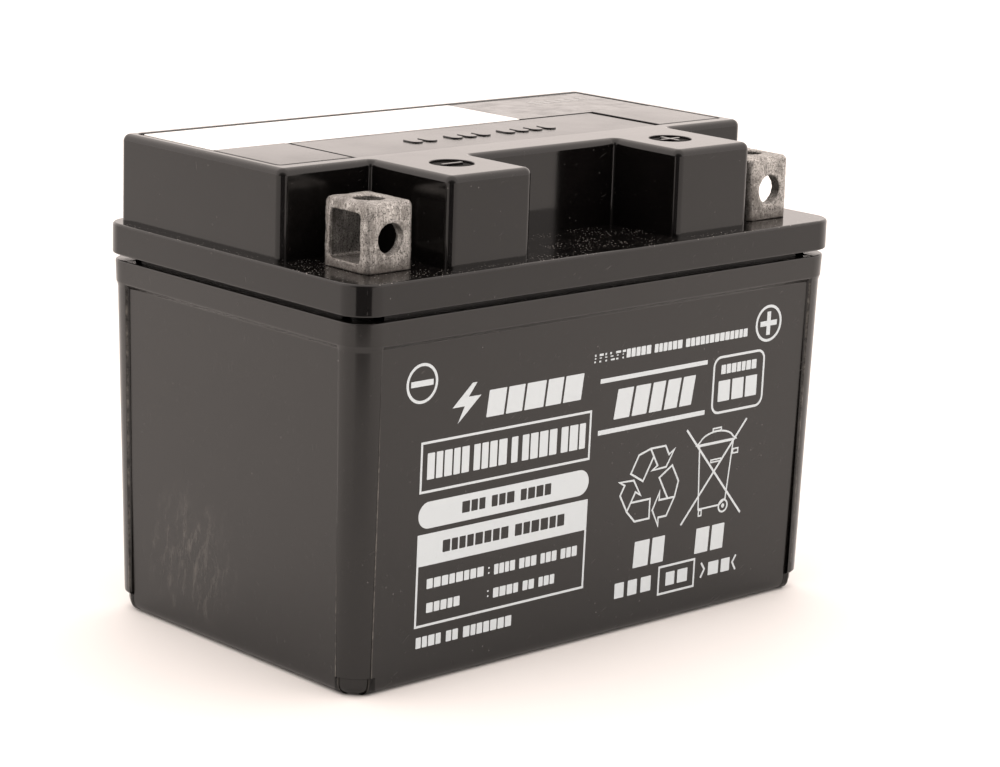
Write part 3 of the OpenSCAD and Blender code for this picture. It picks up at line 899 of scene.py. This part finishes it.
def terminal_solid(node, window_z):
    """Rounded box with a window through its sides, two bolt holes and a neck, meshed evenly."""
    low, high = box_mm(node)
    x, y = (low.x + high.x) / 2, (low.y + high.y) / 2
    levels = [(FLANGE_TOP, 0)] + round_edge(high.z, 0, LEAD_EDGE, steps=5)
    outer = rectangle(low.x, high.x, low.y, high.y)
    box = block("lead_" + node, outer, levels, LEAD_CORNER_R, steps=5)
    y0 = low.y + FRONT_WALL
    ring = outline(rectangle(y0, y0 + WINDOW_L, *window_z), 0, WINDOW_R, steps=4)
    cut(box, loft("window", [[(end, p[0], p[1]) for p in ring] for end in (low.x - 2, high.x + 2)]))
    front_z = sum(window_z) / 2 - FRONT_HOLE_DROP
    cut(box, turned("front_hole", (x, low.y, front_z), BOLT_HOLE, "y", 40))
    cut(box, turned("top_hole", (x, y, high.z), BOLT_HOLE, "z", 40))
    add(box, turned("neck", (x, y, 0), [(NECK_R, low.z), (NECK_R, FLANGE_TOP + 0.5)], segments=40))
    remesh = box.modifiers.new("remesh", "REMESH")
    remesh.mode = "VOXEL"
    remesh.voxel_size = 0.2 * MM
    applied(box)
    relax = box.modifiers.new("relax", "SMOOTH")
    relax.factor = 0.5
    relax.iterations = 3
    return applied(box)


def dent_and_pit(box, low, high, seed):
    """Moves the cast skin in and out a little, and keeps it inside the terminal's own box."""
    margin, pit_above, sink = 0.02, 0.28, 0.05
    shift = Vector((seed * 17.3, 0, 0))
    limit_low = low + Vector((margin, margin, 0))
    limit_high = high - Vector((margin, margin, margin))
    normals = [v.normal.copy() for v in box.data.vertices]
    for vertex, normal in zip(box.data.vertices, normals):
        p = vertex.co / MM
        if p.z < FLANGE_TOP + 0.1:
            continue
        dent = 0.09 * noise.noise(p * 0.35 + shift) + 0.045 * noise.noise(p * 1.5 + shift)
        pit = -0.10 * max(0.0, noise.noise(p * 2.6 + shift * 2) - pit_above) / 0.5
        p = p + normal * (dent + pit - sink)
        p = Vector(max(a, min(b, c)) for a, b, c in zip(limit_low, limit_high, p))
        vertex.co = p * MM


def paint_shade_inside(box, low, high, window_z):
    """Gives the walls inside the window and the top hole the darker lead as painted shade, but not the
    window's floor.
    """
    x, y = (low.x + high.x) / 2, (low.y + high.y) / 2
    y0 = low.y + FRONT_WALL
    reach, skin = 0.3, 0.6
    box.data.materials.append(MATERIALS["lead_painted_shade"])
    for polygon in box.data.polygons:
        polygon.use_smooth = True
        p = polygon.center / MM
        across = low.x + skin < p.x < high.x - skin
        along = y0 - reach < p.y < y0 + WINDOW_L + reach
        in_window = across and along and window_z[0] - reach < p.z < window_z[1] + reach
        on_floor = polygon.normal.z > 0.6 and p.z < sum(window_z) / 2
        in_top_hole = math.hypot(p.x - x, p.y - y) < 2.8 and window_z[1] < p.z < high.z - reach
        if (in_window and not on_floor) or in_top_hole:
            polygon.material_index = 1


def make_terminal(node, seed):
    """Cast lead box: rounded, slightly dented and pitted, with a window and two bolt holes."""
    low, high = box_mm(node)
    window_z = (FLANGE_TOP + WINDOW_FLOOR, high.z - WINDOW_ROOF)
    box = terminal_solid(node, window_z)
    dent_and_pit(box, low, high, seed)
    finish_piece(box, "lead", MATERIALS["lead"], node)
    # Painted shade: the darker lead on the walls inside the window and the top hole, not on its floor.
    paint_shade_inside(box, low, high, window_z)
    return box


# ---------------------------------------------------------------- print on the front

INK_LIFT = 0.02
INK_HALF = 0.012
FRAME_LINE = 0.42
BADGE_LINE = 0.45
CODE_LINE = 0.4
BIN_LINE = 0.32
BIN_DETAIL = 0.28
SIGN_RING = 3.4
SIGN_RING_LINE = 0.5
SIGN_HEIGHT = 51.95
MINUS_X = -41.7
PLUS_X = 40.75
ARROWS_AT = (12.8, 26.0)
WORN_LETTERS = 6
WORN_BANDS = ((50.2, 50.5), (50.85, 51.05), (51.3, 51.7))
COLONS_X = -25.1
COLON_DOTS = (16.8, 17.7, 12.7, 13.6)
# Where each part of the print lies: x0, x1, z0, z1
PLACES = {
    "title": (-27.3, -5.0, 44.2, 48.8),
    "rating frame": (-41.4, -2.7, 33.15, 41.95),
    "rating": (-39.9, -4.0, 35.4, 39.9),
    "pill": (-41.4, -2.6, 27.0, 31.6),
    "pill words": (-31.8, -11.5, 28.4, 30.4),
    "heading": (-41.4, -2.6, 20.6, 26.1),
    "heading words": (-35.8, -8.0, 22.3, 24.4),
    "table": (-41.2, -2.8, 10.2, 20.6),
    "first row name": (-39.0, -26.3, 16.5, 18.2),
    "first row": (-23.9, -4.6, 16.3, 18.1),
    "second row name": (-38.9, -31.5, 12.3, 14.0),
    "second row": (-23.9, -9.7, 12.2, 13.9),
    "footer": (-40.9, -19.4, 6.4, 8.3),
    "worn word": (-2.8, 10.9, 50.2, 51.75),
    "small words": (11.8, 35.3, 50.2, 51.7),
    "upper bar": (-1.0, 25.4, 46.35, 47.15),
    "lower bar": (-1.0, 25.4, 37.15, 38.0),
    "model": (2.6, 22.6, 39.5, 44.8),
    "badge": (27.0, 40.4, 36.75, 47.4),
    "badge small": (29.1, 38.2, 44.0, 45.7),
    "badge large": (28.6, 38.6, 39.0, 42.8),
    "left mark": (9.4, 17.2, 11.4, 16.2),
    "right mark": (25.0, 32.5, 11.3, 16.0),
    "first code": (5.2, 14.2, 6.5, 9.3),
    "code frame": (16.0, 25.4, 5.1, 10.55),
    "second code": (18.0, 23.5, 6.6, 9.1),
    "third code": (28.9, 34.5, 6.6, 9.1),
    "bin handle": (27.8, 30.2, 33.5, 34.3),
    "bin latch": (27.7, 30.5, 27.8, 28.5),
    "bin hinge": (33.3, 34.9, 28.7, 29.8),
    "bin foot": (25.3, 26.3, 18.2, 19.5),
}


def ring_loop(x, z, radius, steps=48):
    """A circle as a loop of points."""
    turns = [2 * math.pi * k / steps for k in range(steps)]
    return [(x + radius * math.cos(a), z + radius * math.sin(a)) for a in turns]


def box_loop(x0, x1, z0, z1, radius=0.05, steps=5):
    """A rectangle with rounded corners as a loop of points."""
    return [(p[0], p[1]) for p in outline(rectangle(x0, x1, z0, z1), 0, radius, steps=steps)]


def frame_loops(x0, x1, z0, z1, line, radius=0.05):
    """Outer and inner loop of a drawn frame."""
    inner = max(radius - line, 0.03)
    return [box_loop(x0, x1, z0, z1, radius), box_loop(x0 + line, x1 - line, z0 + line, z1 - line, inner)]


def stroke(points, width, closed=False):
    """Loops of a line of even width through points, with mitred bends."""
    count = len(points)
    left, right = [], []
    for i in range(count):
        here = Vector(points[i])
        before = Vector(points[i - 1]) if closed or i > 0 else None
        after = Vector(points[(i + 1) % count]) if closed or i < count - 1 else None
        d_in = (here - before).normalized() if before is not None else (after - here).normalized()
        d_out = (after - here).normalized() if after is not None else d_in
        across = Vector((-(d_in + d_out).y, (d_in + d_out).x)).normalized()
        reach = width / 2 / max(across.dot(Vector((-d_in.y, d_in.x))), 0.35)
        left.append(tuple(here + across * reach))
        right.append(tuple(here - across * reach))
    return [left, right] if closed else [left + right[::-1]]


def printed(name, loops, lift=INK_LIFT):
    """A thin patch of ink on the front panel. Loops inside loops are left open."""
    curve = bpy.data.curves.new(name, "CURVE")
    curve.dimensions = "2D"
    curve.fill_mode = "BOTH"
    curve.extrude = INK_HALF * MM
    for loop in loops:
        spline = curve.splines.new("POLY")
        spline.points.add(len(loop) - 1)
        spline.use_cyclic_u = True
        for point, (x, z) in zip(spline.points, loop):
            point.co = (x * MM, z * MM, 0, 1)
    flat = bpy.data.objects.new(name + "_flat", curve)
    bpy.context.scene.collection.objects.link(flat)
    bpy.context.view_layer.update()
    mesh = bpy.data.meshes.new_from_object(flat)
    bpy.data.objects.remove(flat)
    across = Vector((1, 0, 0))
    upward = Vector((0, -PANEL_DRAFT, 1)).normalized()
    outward = across.cross(upward)
    turn = Matrix((across, upward, outward)).transposed().to_4x4()
    origin = Vector((0, -(HALF_W - panel_inset(0)), 0)) + outward * lift
    mesh.transform(Matrix.Translation(origin * MM) @ turn)
    obj = bpy.data.objects.new(name, mesh)
    bpy.context.scene.collection.objects.link(obj)
    return finish_piece(obj, "print_ink", MATERIALS["ink"])


def word_blocks(x0, x1, z0, z1, words, rng, slant=0.0, gap_share=0.2, space=0.9, radius=0.12):
    """A line of print as plain blocks, one for each letter it stands for."""
    widths = []
    for count in words:
        widths.append([rng.uniform(0.82, 1.15) for _ in range(count)])
    total = sum(sum(w) + gap_share * (len(w) - 1) for w in widths) + space * (len(words) - 1)
    unit = (x1 - x0 - slant * (z1 - z0)) / total
    loops = []
    x = x0
    for word in widths:
        for width in word:
            loop = box_loop(x, x + width * unit, z0, z1, min(radius, width * unit * 0.3), 2)
            loops.append([(px + slant * (pz - z0), pz) for px, pz in loop])
            x += (width + gap_share) * unit
        x += (space - gap_share) * unit
    return loops


def words_at(place, words, rng, *style):
    return word_blocks(*PLACES[place], words, rng, *style)


def print_signs():
    """Minus and plus in rings."""
    ring_inside = SIGN_RING - SIGN_RING_LINE
    dash = box_loop(MINUS_X - 2.4, MINUS_X + 2.4, SIGN_HEIGHT - 0.5, SIGN_HEIGHT + 0.5)
    minus_rings = [ring_loop(MINUS_X, SIGN_HEIGHT, radius) for radius in (SIGN_RING, ring_inside)]
    printed("print_minus", minus_rings + [dash])
    arm, half = 2.15, 0.48
    cross = [(-arm, -half), (-half, -half), (-half, -arm), (half, -arm), (half, -half), (arm, -half),
             (arm, half), (half, half), (half, arm), (-half, arm), (-half, half), (-arm, half)]
    plus_rings = [ring_loop(PLUS_X, SIGN_HEIGHT, radius) for radius in (SIGN_RING, ring_inside)]
    printed("print_plus", plus_rings + [[(PLUS_X + x, SIGN_HEIGHT + z) for x, z in cross]])


def print_left_half(rng):
    """Emblem, title, rating, charging table and footer. Lists give the number of letters of each word."""
    bolt = [(-29.6, 50.6), (-31.4, 48.3), (-28.6, 48.3), (-33.6, 44.0), (-32.2, 46.8), (-34.9, 46.8),
            (-30.6, 50.6)]
    printed("print_bolt", [bolt])
    printed("print_title", words_at("title", [5], rng, 0.12, 0.12))
    printed("print_rating", frame_loops(*PLACES["rating frame"], FRAME_LINE)
            + words_at("rating", [5, 4, 1, 4, 3], rng, 0.0, 0.22, 0.6))
    printed("print_pill", [box_loop(*PLACES["pill"], 2.29, 10)] + words_at("pill words", [3, 3, 4], rng))
    printed("print_heading", [box_loop(*PLACES["heading"])] + words_at("heading words", [8, 6], rng))
    x0, x1, z0, z1 = PLACES["table"]
    printed("print_table", stroke([(x0, z1), (x0, z0), (x1, z0), (x1, z1)], FRAME_LINE))
    rows = words_at("first row name", [8], rng) + words_at("first row", [4, 3, 3, 3], rng)
    rows += words_at("second row name", [5], rng) + words_at("second row", [4, 2, 3], rng)
    rows += [ring_loop(COLONS_X, z, 0.17, 12) for z in COLON_DOTS]
    printed("print_rows", rows)
    printed("print_footer", words_at("footer", [4, 2, 7], rng))


def print_small_line(rng):
    """The small line at the top, whose first letters are worn to scraps."""
    letters = words_at("worn word", [11], rng) + words_at("small words", [6, 13], rng)
    kept = []
    for loop in letters[:WORN_LETTERS]:
        low_x, high_x = min(p[0] for p in loop), max(p[0] for p in loop)
        for z0, z1 in WORN_BANDS:
            x0 = rng.uniform(low_x, low_x + 0.3)
            kept.append(box_loop(x0, rng.uniform(x0 + 0.3, high_x), z0, z1, 0.05, 1))
    printed("print_small", kept + letters[WORN_LETTERS:])


def print_right_half(rng):
    """Model line, badge, pictograms and material codes."""
    printed("print_bars", [box_loop(*PLACES["upper bar"]), box_loop(*PLACES["lower bar"])])
    printed("print_model", words_at("model", [5], rng, 0.16, 0.18))
    printed("print_badge", frame_loops(*PLACES["badge"], BADGE_LINE, 1.9)
            + words_at("badge small", [7], rng)
            + words_at("badge large", [3], rng, 0.0, 0.2))
    make_loop_arrows(*ARROWS_AT)
    make_bin()
    printed("print_marks", words_at("left mark", [2], rng, 0.05)
            + words_at("right mark", [2], rng, 0.05))
    codes = words_at("first code", [3], rng, 0.0, 0.35) + frame_loops(*PLACES["code frame"], CODE_LINE)
    for place in ("second code", "third code"):
        codes += words_at(place, [2], rng, 0.0, 0.3)
    codes += stroke([(27.0, 9.3), (27.9, 8.0), (27.0, 6.5)], CODE_LINE)
    codes += stroke([(36.1, 9.3), (35.2, 8.0), (36.1, 6.5)], CODE_LINE)
    printed("print_codes", codes)


def make_print():
    """Everything printed on the front: signs and simple pictograms are drawn, lettering is plain blocks."""
    rng = random.Random(7)
    print_signs()
    print_left_half(rng)
    print_small_line(rng)
    print_right_half(rng)


def way(degrees):
    """Direction at an angle from +X."""
    return Vector((math.cos(math.radians(degrees)), math.sin(math.radians(degrees))))


def make_loop_arrows(x, z):
    """Three plain outlined arrows that follow one another round a triangle, each folded over once."""
    tail_from, tail_to, tail_side, fold_side = 2.35, 5.95, 3.6, 4.8
    neck, neck_width, fold_line, crown_side = Vector((1.42, 3.51)), 3.2, 3.85, 2.0
    wing, nose, line = 1.45, 1.6, 0.36
    rise, fall, across, tail = way(60), way(-60), way(30), way(150)
    fold_top = neck - fall * fold_line
    fold_in = tail * tail_from + rise * fold_side
    neck_out = neck + across * neck_width
    tip = neck + across * neck_width / 2 + fall * nose
    arrow = [tail * tail_to, tail * tail_to + rise * tail_side, fold_top, neck_out - fall * crown_side,
             neck_out, neck_out + across * wing, tip, neck - across * wing, neck, fold_in, tail * tail_from]
    centre = Vector((x, z))
    for k in range(3):
        turn = Matrix.Rotation(math.radians(-120 * k), 2)
        outline_points = [tuple(turn @ p + centre) for p in arrow]
        fold_points = [tuple(turn @ p + centre) for p in (fold_top, fold_in)]
        printed(f"print_arrow_{k + 1}", stroke(outline_points, line, closed=True), INK_LIFT + 0.001 * k)
        printed(f"print_fold_{k + 1}", stroke(fold_points, line), INK_LIFT + 0.004 + 0.001 * k)


def make_bin():
    """A plain outlined bin with two crossing lines over it."""
    body = [(24.7, 31.4), (25.3, 19.6), (30.6, 19.6), (32.2, 20.6), (33.4, 31.4)]
    lid_x, lid_z, lid_half, lid_rise = 29.0, 31.6, 4.4, 2.0
    arch = [math.radians(180 - 15 * k) for k in range(1, 12)]
    lid = [(lid_x + lid_half * math.cos(a), lid_z + lid_rise * math.sin(a)) for a in arch]
    lid = [(24.0, lid_z)] + lid + [(34.0, lid_z)]
    wheel_x, wheel_z = 31.7, 19.3
    wheel_rings = ((1.3, 24), (0.95, 24), (0.4, 16))
    wheel = [ring_loop(wheel_x, wheel_z, radius, steps) for radius, steps in wheel_rings]
    details = frame_loops(*PLACES["bin handle"], BIN_DETAIL) + frame_loops(*PLACES["bin latch"], 0.26)
    details += frame_loops(*PLACES["bin hinge"], BIN_DETAIL) + frame_loops(*PLACES["bin foot"], BIN_DETAIL)
    printed("print_bin_body", stroke(body, BIN_LINE, closed=True), INK_LIFT + 0.002)
    printed("print_bin_lid", stroke(lid, BIN_LINE, closed=True), INK_LIFT + 0.004)
    printed("print_bin_wheel", wheel, INK_LIFT + 0.006)
    printed("print_bin_handle", details, INK_LIFT + 0.003)
    printed("print_cross_a", stroke([(21.2, 34.9), (36.4, 17.3)], FRAME_LINE), INK_LIFT + 0.008)
    printed("print_cross_b", stroke([(21.0, 17.4), (36.6, 34.9)], FRAME_LINE), INK_LIFT + 0.010)


# ---------------------------------------------------------------- stage

# Camera, fitted to the photo without any shift
AIM_OFFSET = (3.15, -3.71, -2.47)
CAMERA_DISTANCE = 551.9
CAMERA_YAW = 42.857
CAMERA_PITCH = 13.247
CAMERA_ROLL = 1.902
LENS = 110.75
SENSOR = 36

# Light: a bright warm world, dark toward the photographer and a little dimmer low behind the battery
SKY = 2.05
SKY_COLOR = (1.0, 0.90, 0.845, 1)
DARK_SIDE = (-0.68, -0.733, 0.0)
DARK_SHARE = 0.12
LOW_BEHIND = (0.66, 0.71, 0.23)
BEHIND_SHARE = 0.76
FLOOR_HALF = 4000
CARD_HALF = 110
CARD_LOW = 1
CARD_HIGH = 130
CARD_AWAY = 250


def look(yaw, pitch, roll):
    """Right, up and forward of a camera turned from +Y by yaw, tipped down by pitch, then rolled."""
    forward = Vector((math.sin(yaw) * math.cos(pitch), math.cos(yaw) * math.cos(pitch), -math.sin(pitch)))
    right = Vector((math.cos(yaw), -math.sin(yaw), 0))
    up = right.cross(forward)
    cos, sin = math.cos(roll), math.sin(roll)
    return right * cos + up * sin, up * cos - right * sin, forward


def make_camera():
    aim = (cad_low + cad_high) / 2 + Vector(AIM_OFFSET) * MM
    angles = (math.radians(a) for a in (CAMERA_YAW, CAMERA_PITCH, CAMERA_ROLL))
    right, up, forward = look(*angles)
    data = bpy.data.cameras.new("camera")
    data.sensor_width = SENSOR
    data.lens = LENS
    data.clip_start = 0.01
    camera = bpy.data.objects.new("camera", data)
    turn = Matrix((right, up, -forward)).transposed().to_4x4()
    camera.matrix_world = Matrix.Translation(aim - forward * (CAMERA_DISTANCE * MM)) @ turn
    bpy.context.scene.collection.objects.link(camera)
    bpy.context.scene.camera = camera


def toward(tree, direction):
    """How far a direction of the world lies toward another: 1 along it, 0 across it."""
    place = tree.nodes.new("ShaderNodeTexCoord")
    dot = tree.nodes.new("ShaderNodeVectorMath")
    dot.operation = "DOT_PRODUCT"
    dot.inputs[1].default_value = direction
    tree.links.new(place.outputs["Generated"], dot.inputs[0])
    return dot.outputs["Value"]


def eased(tree, value, *numbers):
    """Maps a range of a value onto another, with soft ends. numbers are low, high, out_low and out_high."""
    ramp = tree.nodes.new("ShaderNodeMapRange")
    ramp.interpolation_type = "SMOOTHSTEP"
    for socket, number in zip(RANGE_SOCKETS, numbers):
        ramp.inputs[socket].default_value = number
    tree.links.new(value, ramp.inputs["Value"])
    return ramp.outputs[0]


def make_studio():
    """Bright warm surroundings with a dark side where the photographer stands."""
    world = bpy.data.worlds.new("studio")
    world.use_nodes = True
    tree = world.node_tree
    background = tree.nodes["Background"]
    strength = eased(tree, toward(tree, DARK_SIDE), 0.45, 0.9, SKY, DARK_SHARE * SKY)
    dim = eased(tree, toward(tree, LOW_BEHIND), 0.8, 0.95, 1.0, BEHIND_SHARE)
    product = tree.nodes.new("ShaderNodeMath")
    product.operation = "MULTIPLY"
    tree.links.new(strength, product.inputs[0])
    tree.links.new(dim, product.inputs[1])
    tree.links.new(product.outputs[0], background.inputs["Strength"])
    background.inputs["Color"].default_value = SKY_COLOR
    bpy.context.scene.world = world


def make_stage():
    """White floor, and a dark card low on the photographer's side that shows only in reflections."""
    floor_corners = [(x, y, 0) for x, y in rectangle(-FLOOR_HALF, FLOOR_HALF, -FLOOR_HALF, FLOOR_HALF)]
    floor = mesh_object("floor", floor_corners, [(0, 1, 2, 3)])
    paint = Paint("floor_paper", (0.86, 0.855, 0.845), 0.7)
    tone = paint.band(paint.grain(0.01, 2.0), 0.3, 0.7)
    floor.data.materials.append(paint.done(paint.mix(tone, (0.85, 0.845, 0.835), (0.88, 0.875, 0.865))))
    card_corners = [(x, 0, z) for x, z in rectangle(-CARD_HALF, CARD_HALF, CARD_LOW, CARD_HIGH)]
    card = mesh_object("card", card_corners, [(0, 1, 2, 3)])
    card.location = Vector(DARK_SIDE) * CARD_AWAY * MM
    card.rotation_euler.z = math.atan2(DARK_SIDE[1], DARK_SIDE[0]) + math.pi / 2
    card.visible_camera = False
    card.visible_diffuse = False
    card.visible_shadow = False
    card.data.materials.append(Paint("card_black", (0.08, 0.08, 0.085), 0.9).done())
    scene = bpy.context.scene
    scene.view_settings.view_transform = "Standard"
    scene.view_settings.look = "None"


# ---------------------------------------------------------------- the model


def dress_cad_nodes():
    """Gives every CAD node its material. Those inside the case stay as the CAD made them."""
    plastics = {"jar_plastic": "jar", "lid_plastic": "lid"}
    for entry in frame["record"]["subparts"]:
        obj = frame["nodes"][entry["node"]]
        slot = entry["material_slot"]
        obj.data.materials.clear()
        obj.data.materials.append(MATERIALS[plastics.get(slot, slot)])


make_camera()
make_studio()
make_stage()
dress_cad_nodes()
make_jar()
make_lid()
make_cover()
make_strip()
make_labels()
make_label_print()
make_terminal("negative_terminal", 1)
make_terminal("positive_terminal", 2)
make_print()
